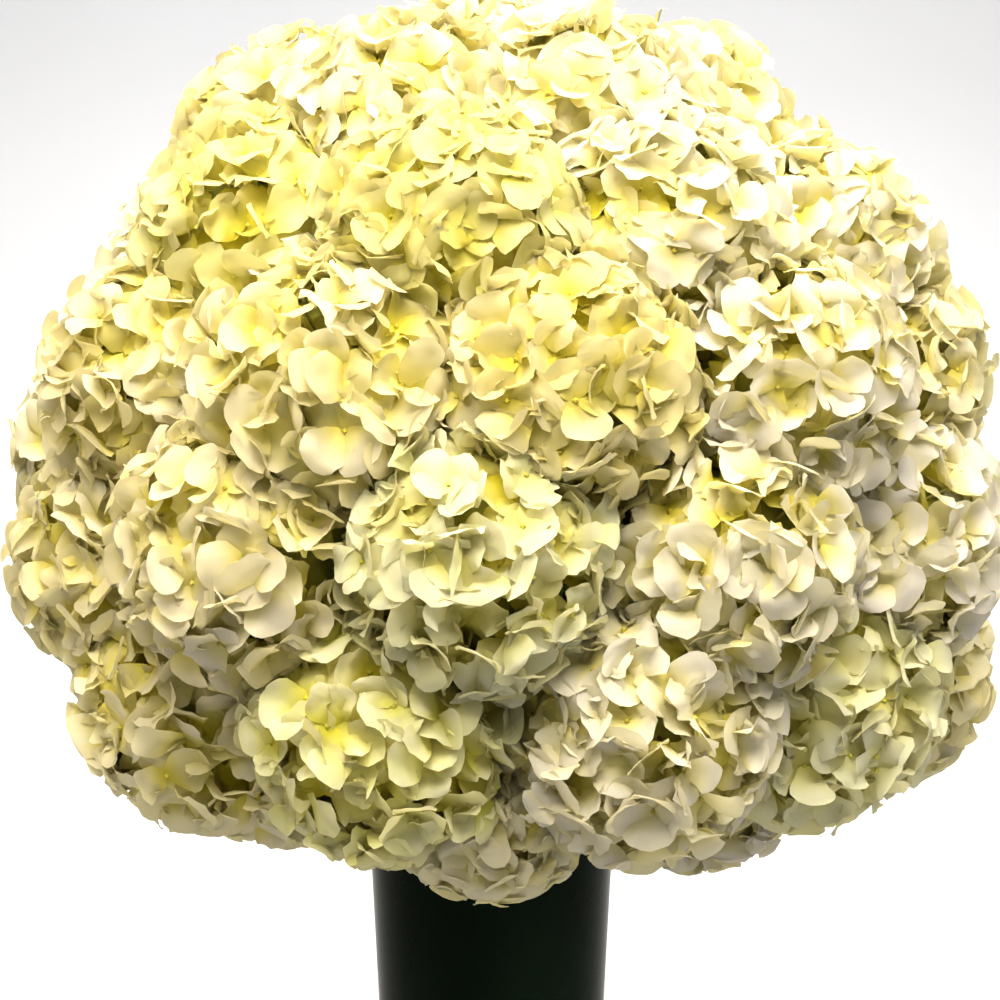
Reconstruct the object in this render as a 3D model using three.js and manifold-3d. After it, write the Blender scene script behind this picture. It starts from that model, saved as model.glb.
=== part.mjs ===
// A domed bunch of cream mophead hydrangeas standing in a dark green glass vase.
//
// Millimetres, +Z up. The origin is the centre of the vase's foot, and -Y is the front of the bunch.
// Every head is one solid: a small core with broad four-sepalled florets standing out of it.
// The cut stems are bound into one upright bundle that stands in the water, and fan out above the tie.

import * as THREE from "three";
import { ConvexHull } from "three/addons/math/ConvexHull.js";
import { mergeVertices } from "three/addons/utils/BufferGeometryUtils.js";
import Module from "manifold-3d";

// Vase
const VASE_HEIGHT = 300;
const FOOT_RADIUS = 57;
const MOUTH_RADIUS = 72;
const VASE_WALL = 4;
const VASE_FLOOR = 9;
const FOOT_ROUND = 3;
const LIP_ROUND = 1.4;
const VASE_SIDES = 32;

// Water, tie and stems
const GAP = 0.3;
const WATER_LEVEL = 215;
const BUNDLE_RADIUS = 34;
const BUNDLE_FLUTE = 2;
const BUNDLE_FLUTES = 14;
const BUNDLE_TOP = 292;
const TIE_HEIGHT = 14;
const TIE_THICKNESS = 2.4;
const TIE_BELOW_TOP = 12;
const STEM_RADIUS = 3;
const STEM_SIDES = 4;
const STEM_STEPS = 3;
const STEM_SUNK = 6;
const STEM_RISE = 0.42;
const SLOT_RADIUS = 29.5;
const FAN_HEIGHT = 420;

// Dome: the middle of the ball that the heads make, and its outer radius
const DOME_MIDDLE = new THREE.Vector3(8, 0, 470);
const DOME_RADIUS = 292;

// Heads: rings counted from the top of the dome, with angles in degrees. Some heads at the sides hang
// lower or higher than their ring: low gives by how much, for the number of the head in its ring.
const RINGS = [
  { polar: 0, heads: 1, first: 0 },
  { polar: 26, heads: 6, first: -60, low: { 4: 5 } },
  { polar: 48, heads: 9, first: -101, low: { 2: 6, 3: -7, 7: 4 } },
  { polar: 70, heads: 11, first: -82, low: { 3: 8, 8: 12 } },
  { polar: 92, heads: 11, first: -93, low: { 9: 4 } },
  { polar: 114, heads: 10, first: -72, low: { 7: -4 } },
];
const SKIRT = { heads: 5, first: -90, reach: 122, drop: 136, radius: 66, tilt: 128 };
const SKIRT_FRONT = { azimuth: -90, out: 32, smaller: 10 };
const SKIRT_LEFT = { azimuth: 198, up: 14 };
const HEAD_RADIUS = 72;
const HEAD_SPREAD = 0.06;
const HEAD_WANDER = 4;

// Swells and hollows of the outline, seen from the front: where, how far out, and how wide in degrees
const SWELLS = [
  { azimuth: 180, polar: 36, out: 16, wide: 15 },
  { azimuth: 180, polar: 60, out: -28, wide: 24 },
  { azimuth: 180, polar: 124, out: -46, wide: 24 },
  { azimuth: 0, polar: 52, out: -10, wide: 24 },
  { azimuth: 0, polar: 82, out: -11, wide: 20 },
];

// Florets
const FLORETS = 8;
const CAP_ANGLE = 76;
const CORE_SHARE = 0.74;
const DIP_SHARE = 0.88;
const NECK_ANGLE = 8.5;
const SEPAL_ANGLE = 31;
const SHOULDER_TURN = 36;
const SHOULDER_SHARE = 0.86;
const FLORET_GAP_ANGLE = 1.2;
const SEAT_SHARE = 0.72;
const SEAT_HALF = 4.5;

// Where a neighbour presses on a head, this much is left of the florets' relief
const PRESSED_RELIEF = 0.2;
const HIGHEST_SHARE = 1.1;

const COLOUR = {
  petal: 0xf1ecc4,
  petalGreen: 0xe3e3a2,
  petalPale: 0xe9e4d0,
  stem: 0x6f8a3c,
  tie: 0xb59a68,
  glass: 0x0e1a12,
  water: 0xc9d8d0,
};

const radians = THREE.MathUtils.degToRad;
const UP = new THREE.Vector3(0, 0, 1);

/** A small repeatable random source: each call gives the next number from 0 to 1. */
function randomSource(seed) {
  let state = seed >>> 0;
  return () => {
    state = (Math.imul(state, 1664525) + 1013904223) >>> 0;
    return state / 4294967296;
  };
}

/** The unit vector at a polar angle from +Z and an azimuth from +X, both in degrees. */
function direction(polar, azimuth) {
  const [p, a] = [radians(polar), radians(azimuth)];
  return new THREE.Vector3(Math.sin(p) * Math.cos(a), Math.sin(p) * Math.sin(a), Math.cos(p));
}

/** Two unit vectors that make a right-handed frame with axis, turned by turn radians about it. */
function frameAbout(axis, turn) {
  const helper = Math.abs(axis.z) < 0.9 ? UP : new THREE.Vector3(1, 0, 0);
  const u = new THREE.Vector3().crossVectors(helper, axis).normalize().applyAxisAngle(axis, turn);
  return [u, new THREE.Vector3().crossVectors(axis, u)];
}

/** The unit vector at an angle from axis, at a turn in the frame u, v. Both angles are in radians. */
function offAxis(axis, [u, v], angle, turn) {
  return axis
    .clone()
    .multiplyScalar(Math.cos(angle))
    .addScaledVector(u, Math.sin(angle) * Math.cos(turn))
    .addScaledVector(v, Math.sin(angle) * Math.sin(turn));
}

/** How far the dome's outline stands out of a true ball in a direction. */
function swell(way) {
  return SWELLS.reduce((sum, { azimuth, polar, out, wide }) => {
    const apart = way.angleTo(direction(polar, azimuth)) / radians(wide);
    return sum + out * Math.exp(-apart * apart);
  }, 0);
}

/** 1 at a place round the vase, falling to nearly 0 at the next hanging heads. Both are in degrees. */
const nearness = (azimuth, place) => Math.max(0, Math.cos(radians(azimuth - place))) ** 4;

/** Places every head: its middle, radius, the way it faces and the way to its stem. */
function placeHeads() {
  const random = randomSource(7);
  const wander = () => (2 * random() - 1) * HEAD_WANDER;
  const heads = [];
  for (const ring of RINGS) {
    for (let i = 0; i < ring.heads; i += 1) {
      const polar = ring.polar + (ring.low?.[i] ?? 0);
      const facing = direction(polar, ring.first + (360 * i) / ring.heads);
      const radius = HEAD_RADIUS * (1 + (2 * random() - 1) * HEAD_SPREAD);
      const out = DOME_RADIUS - radius + swell(facing) + wander();
      const middle = DOME_MIDDLE.clone().addScaledVector(facing, out);
      middle.add(new THREE.Vector3(wander(), wander(), wander()));
      heads.push({ middle, radius, facing });
    }
  }
  for (let i = 0; i < SKIRT.heads; i += 1) {
    const azimuth = SKIRT.first + (360 * i) / SKIRT.heads;
    const front = nearness(azimuth, SKIRT_FRONT.azimuth);
    const facing = direction(SKIRT.tilt, azimuth);
    const level = direction(90, azimuth);
    const middle = level.clone().multiplyScalar(SKIRT.reach + SKIRT_FRONT.out * front);
    middle.z = DOME_MIDDLE.z - SKIRT.drop + SKIRT_LEFT.up * nearness(azimuth, SKIRT_LEFT.azimuth);
    heads.push({ middle, radius: SKIRT.radius - SKIRT_FRONT.smaller * front, facing, level });
  }
  const fan = new THREE.Vector3(0, 0, FAN_HEIGHT);
  for (const head of heads) head.toStem = fan.clone().sub(head.middle).normalize();
  return heads;
}

/** The flat limits that keep a head clear of its neighbours and of the vase, as normal and reach. */
function limitsOf(head, heads) {
  const limits = [];
  for (const other of heads) {
    if (other === head) continue;
    const apart = other.middle.distanceTo(head.middle);
    const share = (apart * apart + head.radius ** 2 - other.radius ** 2) / (2 * apart);
    if (share > 1.4 * head.radius) continue;
    const normal = other.middle.clone().sub(head.middle).normalize();
    limits.push({ normal, reach: share - GAP / 2 });
  }
  if (head.level) {
    const normal = head.level.clone().negate();
    const inner = head.middle.dot(head.level) - MOUTH_RADIUS - GAP;
    limits.push({ normal, reach: inner });
  }
  return limits;
}

/** The point at a way from the head's middle, at a share of its radius, drawn in inside the limits. */
function pointInside(head, limits, way, share) {
  const pressed = 1 - PRESSED_RELIEF * (HIGHEST_SHARE - share);
  let reach = head.radius * share;
  for (const limit of limits) {
    const towards = way.dot(limit.normal);
    if (towards > 0) reach = Math.min(reach, (pressed * limit.reach) / towards);
  }
  return head.middle.clone().addScaledVector(way, reach);
}

/** Spreads florets over the cap that faces outwards, on a spiral from its middle to its edge. */
function floretWays(head, turn) {
  const frame = frameAbout(head.facing, turn);
  const golden = Math.PI * (3 - Math.sqrt(5));
  const depth = 1 - Math.cos(radians(CAP_ANGLE));
  return Array.from({ length: FLORETS }, (_, i) => {
    const angle = Math.acos(1 - (depth * (i + 0.35)) / FLORETS);
    return offAxis(head.facing, frame, angle, i * golden);
  });
}

/** How far a sepal can reach from its floret's middle, at a turn, before it meets the next floret. */
function sepalReach(way, others, frame, turn) {
  let reach = radians(SEPAL_ANGLE);
  const along = offAxis(way, frame, Math.PI / 2, turn);
  for (const other of others) {
    const between = other.clone().sub(way).normalize();
    const [a, b] = [way.dot(between), along.dot(between)];
    if (b <= 0) continue;
    reach = Math.min(reach, Math.atan2(-a, b) - radians(FLORET_GAP_ANGLE));
  }
  return Math.max(reach, radians(NECK_ANGLE * 1.3));
}

/** One head as a single closed surface: core, florets of four sepals, and a flat seat for its stem. */
function headGeometry(head, heads, seed) {
  const random = randomSource(seed);
  const limits = limitsOf(head, heads);
  const points = [];
  const faces = [];
  const onSphere = [];
  const add = (point) => points.push(point) - 1;
  const place = (way, share) => add(pointInside(head, limits, way, share));
  const ways = floretWays(head, random() * 2 * Math.PI);

  ways.forEach((way, floret) => {
    const others = ways.filter((other) => other !== way);
    const frame = frameAbout(way, random() * Math.PI);
    const lift = 1 + (random() - 0.5) * 0.08;
    const middle = place(way, DIP_SHARE * lift);
    const necks = [];
    for (let k = 0; k < 4; k += 1) {
      const turn = radians(90 * k + 45 + (random() - 0.5) * 6);
      const neckWay = offAxis(way, frame, radians(NECK_ANGLE), turn);
      necks.push(place(neckWay, CORE_SHARE));
      onSphere.push({ way: neckWay, index: necks[k], floret });
    }
    for (let k = 0; k < 4; k += 1) {
      const axis = radians(90 * k) + radians((random() - 0.5) * 10);
      const curl = (random() - 0.5) * 0.09;
      const rim = [-1, 0, 1].map((side) => {
        const turn = axis + side * radians(SHOULDER_TURN);
        const share = side === 0 ? 1 : SHOULDER_SHARE;
        const angle = sepalReach(way, others, frame, turn) * share;
        const rise = side === 0 ? curl : -curl / 2 + 0.015;
        return place(offAxis(way, frame, angle, turn), lift + rise);
      });
      const [left, tip, right] = rim;
      const [before, after] = [necks[(k + 3) % 4], necks[k]];
      faces.push([middle, left, tip], [middle, tip, right]);
      faces.push([before, tip, left], [before, after, tip], [after, right, tip]);
      faces.push([middle, before, left], [middle, right, after]);
    }
  });

  const seatMiddle = head.toStem.clone().multiplyScalar(SEAT_SHARE * head.radius).add(head.middle);
  head.seat = seatMiddle;
  const seatFrame = frameAbout(head.toStem, random() * Math.PI);
  for (let k = 0; k < 4; k += 1) {
    const turn = radians(90 * k + random());
    const point = seatMiddle.clone();
    point.addScaledVector(seatFrame[0], Math.SQRT2 * SEAT_HALF * Math.cos(turn));
    point.addScaledVector(seatFrame[1], Math.SQRT2 * SEAT_HALF * Math.sin(turn));
    const way = point.clone().sub(head.middle).normalize();
    onSphere.push({ way, index: add(point), floret: -1 });
  }

  const byWay = new Map(onSphere.map((entry) => [entry.way, entry]));
  const hull = new ConvexHull().setFromPoints(onSphere.map((entry) => entry.way));
  for (const face of hull.faces) {
    const corners = [];
    let edge = face.edge;
    do {
      corners.push(byWay.get(edge.head().point));
      edge = edge.next;
    } while (edge !== face.edge);
    const [a, b, c] = corners;
    const insideNeck = a.floret >= 0 && a.floret === b.floret && b.floret === c.floret;
    if (!insideNeck) faces.push([a.index, b.index, c.index]);
  }

  const geometry = new THREE.BufferGeometry().setFromPoints(points);
  geometry.setIndex(faces.flat());
  return geometry;
}

/** A lathe with its profile given as [radius, height] pairs, turned about Z. */
function turned(profile, sides) {
  const points = profile.map(([radius, height]) => new THREE.Vector2(radius, height));
  return new THREE.LatheGeometry(points, sides).rotateX(Math.PI / 2);
}

/** The vase's outer radius at a height. */
const vaseRadius = (z) => FOOT_RADIUS + ((MOUTH_RADIUS - FOOT_RADIUS) * z) / VASE_HEIGHT;

/** The vase: a plain, slightly flared cylinder with a thick floor and a rounded lip. */
function vaseGeometry() {
  const inner = (z) => vaseRadius(z) - VASE_WALL;
  const profile = [
    [0, 0],
    [FOOT_RADIUS - FOOT_ROUND, 0],
    [vaseRadius(FOOT_ROUND), FOOT_ROUND],
    [vaseRadius(VASE_HEIGHT - LIP_ROUND), VASE_HEIGHT - LIP_ROUND],
    [MOUTH_RADIUS - LIP_ROUND, VASE_HEIGHT],
    [inner(VASE_HEIGHT), VASE_HEIGHT],
    [inner(VASE_FLOOR), VASE_FLOOR],
    [0, VASE_FLOOR],
  ];
  return turned(profile, VASE_SIDES);
}

/** The corner radius of a many-sided hole whose flat sides just clear the bundle of stems. */
const roundBundle = (sides) => (BUNDLE_RADIUS + GAP) / Math.cos(Math.PI / sides);

/** The water, with one plain hole that the bundle of stems stands in. */
function waterGeometry() {
  const inner = (z) => vaseRadius(z) - VASE_WALL - GAP;
  const bottom = VASE_FLOOR + GAP;
  const hole = roundBundle(VASE_SIDES);
  const profile = [
    [hole, bottom],
    [inner(bottom), bottom],
    [inner(WATER_LEVEL), WATER_LEVEL],
    [hole, WATER_LEVEL],
    [hole, bottom],
  ];
  return turned(profile, VASE_SIDES);
}

/** The band of twine that binds the stems just under the place where they fan out. */
function tieGeometry() {
  const inner = roundBundle(BUNDLE_FLUTES);
  const outer = inner + TIE_THICKNESS;
  const top = BUNDLE_TOP - TIE_BELOW_TOP;
  const profile = [
    [inner, top - TIE_HEIGHT],
    [outer, top - TIE_HEIGHT],
    [outer, top],
    [inner, top],
    [inner, top - TIE_HEIGHT],
  ];
  return turned(profile, BUNDLE_FLUTES);
}

/** Gives each head a place in the bundle: outer places to low heads, matched round the bundle. */
function slotsFor(heads) {
  const golden = Math.PI * (3 - Math.sqrt(5));
  const places = heads.map((_, i) => {
    const radius = SLOT_RADIUS * Math.sqrt((i + 0.5) / heads.length);
    return new THREE.Vector2(radius, 0).rotateAround(new THREE.Vector2(), i * golden);
  });
  const fromTop = [...heads].sort((a, b) => b.middle.z - a.middle.z);
  let start = 0;
  const counts = [...RINGS.map((ring) => ring.heads), SKIRT.heads];
  for (const count of counts) {
    const ringHeads = fromTop.slice(start, start + count);
    const ringPlaces = places.slice(start, start + count);
    ringHeads.sort((a, b) => Math.atan2(a.middle.y, a.middle.x) - Math.atan2(b.middle.y, b.middle.x));
    ringPlaces.sort((a, b) => a.angle() - b.angle());
    ringHeads.forEach((head, i) => {
      head.slot = ringPlaces[(i + Math.round(count / 2)) % count];
    });
    start += count;
  }
}

/** The line of one stem, from inside the bundle up and out to its head's seat. */
function stemLine(head) {
  const start = new THREE.Vector3(head.slot.x, head.slot.y, BUNDLE_TOP - STEM_SUNK);
  const end = head.seat.clone().addScaledVector(head.toStem, GAP);
  const bend = end.distanceTo(start) * STEM_RISE;
  return new THREE.CubicBezierCurve3(
    start,
    start.clone().addScaledVector(UP, bend),
    end.clone().addScaledVector(head.toStem, bend),
    end,
  );
}

/** A closed geometry as a solid that can be joined to others. */
function solidOf(wasm, geometry) {
  const bare = geometry.index ? geometry.toNonIndexed() : geometry.clone();
  bare.deleteAttribute("normal");
  bare.deleteAttribute("uv");
  const merged = mergeVertices(bare, 1e-3);
  const vertProperties = merged.attributes.position.array;
  return new wasm.Manifold(
    new wasm.Mesh({ numProp: 3, vertProperties, triVerts: new Uint32Array(merged.index.array) }),
  );
}

/** A solid back as a geometry. */
function geometryOf(solid) {
  const mesh = solid.getMesh();
  return new THREE.BufferGeometry()
    .setAttribute("position", new THREE.BufferAttribute(mesh.vertProperties, 3))
    .setIndex(new THREE.BufferAttribute(mesh.triVerts, 1));
}

/** The stems: a fluted bundle of cut stems, and above its tie one stem to each head. */
function stemsGeometry(wasm, heads) {
  const outline = new THREE.Shape(
    Array.from({ length: 2 * BUNDLE_FLUTES }, (_, i) => {
      const radius = BUNDLE_RADIUS - (i % 2) * BUNDLE_FLUTE;
      return new THREE.Vector2(radius, 0).rotateAround(
        new THREE.Vector2(),
        (Math.PI * i) / BUNDLE_FLUTES,
      );
    }),
  );
  const bottom = VASE_FLOOR + GAP;
  const bundle = new THREE.ExtrudeGeometry(outline, {
    depth: BUNDLE_TOP - bottom,
    bevelEnabled: false,
  }).translate(0, 0, bottom);
  const section = new THREE.Shape(
    Array.from({ length: STEM_SIDES }, (_, i) => {
      const turn = (2 * Math.PI * i) / STEM_SIDES;
      return new THREE.Vector2(STEM_RADIUS * Math.cos(turn), STEM_RADIUS * Math.sin(turn));
    }),
  );
  let whole = solidOf(wasm, bundle);
  for (const head of heads) {
    const stem = new THREE.ExtrudeGeometry(section, {
      steps: STEM_STEPS,
      extrudePath: stemLine(head),
      bevelEnabled: false,
    });
    whole = whole.add(solidOf(wasm, stem));
  }
  return geometryOf(whole);
}

/** A named mesh with its own material. */
function piece(name, geometry, colour, roughness, metalness = 0) {
  const material = new THREE.MeshStandardMaterial({ color: colour, roughness, metalness });
  const mesh = new THREE.Mesh(geometry, material);
  mesh.name = name;
  return mesh;
}

const wasm = await Module();
wasm.setup();

const arrangement = new THREE.Group();
const heads = placeHeads();
const petalColours = [COLOUR.petal, COLOUR.petalPale, COLOUR.petal, COLOUR.petalGreen];

arrangement.add(piece("vase", vaseGeometry(), COLOUR.glass, 0.12));
arrangement.add(piece("water", waterGeometry(), COLOUR.water, 0.05));
heads.forEach((head, i) => {
  const name = `head_${String(i + 1).padStart(2, "0")}`;
  arrangement.add(piece(name, headGeometry(head, heads, 100 + i), petalColours[i % 4], 0.75));
});
slotsFor(heads);
arrangement.add(piece("stems", stemsGeometry(wasm, heads), COLOUR.stem, 0.6));
arrangement.add(piece("tie", tieGeometry(), COLOUR.tie, 0.9));

export default arrangement;
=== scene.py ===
"""Dresses a domed bunch of cream mophead hydrangeas in a dark green glass vase.

Metres, +Z up, with the origin at the centre of the vase's foot and -Y as the front of the bunch.
"""

import logging
import math
from dataclasses import dataclass, field
from enum import Enum
from typing import Any

import bpy
import numpy as np
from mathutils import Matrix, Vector


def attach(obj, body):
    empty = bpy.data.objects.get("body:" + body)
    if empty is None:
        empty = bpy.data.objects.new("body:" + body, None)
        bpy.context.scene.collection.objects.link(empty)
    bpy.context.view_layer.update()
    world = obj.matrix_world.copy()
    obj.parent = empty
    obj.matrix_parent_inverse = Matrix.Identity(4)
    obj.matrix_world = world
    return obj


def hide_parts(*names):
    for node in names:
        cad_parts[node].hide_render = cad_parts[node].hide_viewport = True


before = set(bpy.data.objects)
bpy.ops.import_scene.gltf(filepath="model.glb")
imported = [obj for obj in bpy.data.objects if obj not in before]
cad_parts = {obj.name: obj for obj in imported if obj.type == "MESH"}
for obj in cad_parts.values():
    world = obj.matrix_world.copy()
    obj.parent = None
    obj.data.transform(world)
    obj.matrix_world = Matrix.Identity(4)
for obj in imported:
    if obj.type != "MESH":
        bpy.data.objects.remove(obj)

Array = np.ndarray
Colour = tuple[float, float, float]
Point = tuple[float, float, float]

MM = 0.001
BODY = "root"
BAKE_MAP = "OFBake"
GOLDEN_TURN = math.pi * (3 - math.sqrt(5))
OPEN_REACH = 1.15  # how far petals may stand out where nothing is near, in head radii

log = logging.getLogger("hydrangeas")


# Directions and repeatable chance


class Chance:
    """A small repeatable random source, the same one that places the heads of the solid model."""

    def __init__(self, seed: int) -> None:
        """Starts the source at a seed."""
        self.state = seed & 0xFFFFFFFF

    def next(self) -> float:
        """The next number from 0 to 1."""
        self.state = (self.state * 1664525 + 1013904223) & 0xFFFFFFFF
        return self.state / 4294967296

    def wander(self, most: float) -> float:
        """A number from -most to most."""
        return (2 * self.next() - 1) * most


def unit(vectors: Array) -> Array:
    """Vectors, along the last axis, at length 1."""
    return vectors / np.linalg.norm(vectors, axis=-1, keepdims=True)


def direction(polar: float, azimuth: float) -> Array:
    """The unit vector at a polar angle from +Z and an azimuth from +X, both in degrees."""
    p, a = math.radians(polar), math.radians(azimuth)
    return np.array([math.sin(p) * math.cos(a), math.sin(p) * math.sin(a), math.cos(p)])


def frames_about(axes: Array, turns: Array) -> tuple[Array, Array]:
    """Two unit vectors square to each axis, turned about it.

    Args:
        axes: Unit vectors, shaped (count, 3).
        turns: How far each pair is turned, in radians, shaped (count,).

    Returns:
        The pair of arrays, each shaped (count, 3), right-handed with the axes.
    """
    steep = np.abs(axes[:, 2:]) < 0.9
    helper = np.where(steep, [0.0, 0.0, 1.0], [1.0, 0.0, 0.0])
    first = unit(np.cross(helper, axes))
    second = np.cross(axes, first)
    cos, sin = np.cos(turns)[:, None], np.sin(turns)[:, None]
    return first * cos + second * sin, second * cos - first * sin


# Where the heads are, as in the solid model


@dataclass(frozen=True)
class Ring:
    """One ring of heads round the dome, with angles in degrees, and how far some of them hang low."""

    polar: float
    heads: int
    first: float
    low: dict[int, float] = field(default_factory=dict)


@dataclass(frozen=True)
class Swell:
    """A place where the dome's outline stands out or in, by millimetres, over an angle in degrees."""

    azimuth: float
    polar: float
    out: float
    wide: float

    def at(self, way: Array) -> float:
        """How far the outline stands out in a direction."""
        apart = math.acos(float(np.clip(way @ direction(self.polar, self.azimuth), -1, 1)))
        return self.out * math.exp(-((apart / math.radians(self.wide)) ** 2))


@dataclass
class HeadPlace:
    """Where one head sits: its middle and radius, the way it faces, and its limits.

    A limit is a flat plane, as a unit normal from the middle and a reach, that parts the head from a
    neighbour or from the vase.
    """

    node: str
    middle: Array
    radius: float
    facing: Array
    level: Array | None = None
    to_stem: Array = field(default_factory=lambda: np.array([0.0, 0.0, -1.0]))
    normals: Array = field(default_factory=lambda: np.zeros((0, 3)))
    reaches: Array = field(default_factory=lambda: np.zeros(0))

    def reach(self, ways: Array, open_reach: float) -> Array:
        """How far a head may reach before it meets a limit.

        Args:
            ways: Unit vectors from the head's middle, shaped (..., 3).
            open_reach: The reach where nothing is near.

        Returns:
            The reach along each vector.
        """
        if not len(self.normals):
            return np.full(ways.shape[:-1], open_reach)
        towards = np.maximum(ways @ self.normals.T, 1e-6)
        return np.minimum((self.reaches / towards).min(axis=-1), open_reach)

    def settle(self, points: Array, into: Array | float = 0.0, firm: float = 0.86) -> Array:
        """Draws points gently in, so that none passes a limit.

        Args:
            points: Points from the head's middle, in metres, shaped (..., 3).
            into: How far past a limit, among its neighbour's petals, each point may stand, in metres.
            firm: The share of the limit up to which a point stays where it is.

        Returns:
            The points in the frame's own place, no longer from the head's middle.
        """
        length = np.linalg.norm(points, axis=-1, keepdims=True)
        ways = points / np.maximum(length, 1e-9)
        limit = self.reach(ways, OPEN_REACH * self.radius)[..., None]
        limit = np.minimum(limit + np.asarray(into)[..., None], OPEN_REACH * self.radius)
        share = length / limit
        spare = 1 - firm
        eased = firm + spare * (1 - np.exp(-(share - firm) / spare))
        return self.middle + ways * limit * np.where(share > firm, eased, share)


@dataclass
class Dome:
    """The ball of heads above the vase. Lengths are in metres."""

    middle: Point = (8 * MM, 0.0, 470 * MM)
    radius: float = 292 * MM
    head_radius: float = 72 * MM
    head_spread: float = 0.06
    head_wander: float = 4 * MM
    rings: tuple[Ring, ...] = (
        Ring(0, 1, 0),
        Ring(26, 6, -60, {4: 5}),
        Ring(48, 9, -101, {2: 6, 3: -7, 7: 4}),
        Ring(70, 11, -82, {3: 8, 8: 12}),
        Ring(92, 11, -93, {9: 4}),
        Ring(114, 10, -72, {7: -4}),
    )
    swells: tuple[Swell, ...] = (
        Swell(180, 36, 16, 15),
        Swell(180, 60, -28, 24),
        Swell(180, 124, -46, 24),
        Swell(0, 52, -10, 24),
        Swell(0, 82, -11, 20),
    )
    skirt_heads: int = 5
    skirt_first: float = -90
    skirt_reach: float = 122 * MM
    skirt_drop: float = 136 * MM
    skirt_radius: float = 66 * MM
    skirt_tilt: float = 128
    front: float = -90
    front_out: float = 32 * MM
    front_smaller: float = 10 * MM
    left: float = 198
    left_up: float = 14 * MM
    mouth_radius: float = 72 * MM
    fan_height: float = 420 * MM
    gap: float = 0.3 * MM
    limit_reach: float = 1.4
    seed: int = 7

    def places(self) -> list[HeadPlace]:
        """Every head's place, from the top of the dome down."""
        middle = np.array(self.middle)
        chance = Chance(self.seed)
        found: list[HeadPlace] = []
        for ring in self.rings:
            for number in range(ring.heads):
                polar = ring.polar + ring.low.get(number, 0)
                facing = direction(polar, ring.first + 360 * number / ring.heads)
                radius = self.head_radius * (1 + chance.wander(self.head_spread))
                swell = MM * sum(swell.at(facing) for swell in self.swells)
                out = self.radius - radius + swell + chance.wander(self.head_wander)
                shift = [chance.wander(self.head_wander) for _ in range(3)]
                found.append(HeadPlace("", middle + facing * out + shift, radius, facing))
        for number in range(self.skirt_heads):
            azimuth = self.skirt_first + 360 * number / self.skirt_heads
            front = self._nearness(azimuth, self.front)
            level = direction(90, azimuth)
            place = level * (self.skirt_reach + self.front_out * front)
            place[2] = middle[2] - self.skirt_drop + self.left_up * self._nearness(azimuth, self.left)
            radius = self.skirt_radius - self.front_smaller * front
            found.append(HeadPlace("", place, radius, direction(self.skirt_tilt, azimuth), level))
        for number, head in enumerate(found):
            head.node = f"head_{number + 1:02d}"
            head.to_stem = unit(np.array([0.0, 0.0, self.fan_height]) - head.middle)
            self._limit(head, found)
        return found

    @staticmethod
    def _nearness(azimuth: float, place: float) -> float:
        """1 at a place round the vase, falling to nearly 0 at the next hanging heads."""
        return max(0.0, math.cos(math.radians(azimuth - place))) ** 4

    def _limit(self, head: HeadPlace, heads: list[HeadPlace]) -> None:
        """Finds the flat limits that part a head from its neighbours and from the vase.

        Args:
            head: The head that gets the limits.
            heads: All the heads.
        """
        normals, reaches = [], []
        for other in heads:
            if other is head:
                continue
            between = other.middle - head.middle
            apart = float(np.linalg.norm(between))
            share = (apart**2 + head.radius**2 - other.radius**2) / (2 * apart)
            if share <= self.limit_reach * head.radius:
                normals.append(between / apart)
                reaches.append(share - self.gap / 2)
        if head.level is not None:
            normals.append(-head.level)
            reaches.append(float(head.middle @ head.level) - self.mouth_radius - self.gap)
        head.normals, head.reaches = np.array(normals), np.array(reaches)


# Meshes made of square-patterned sheets


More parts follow.
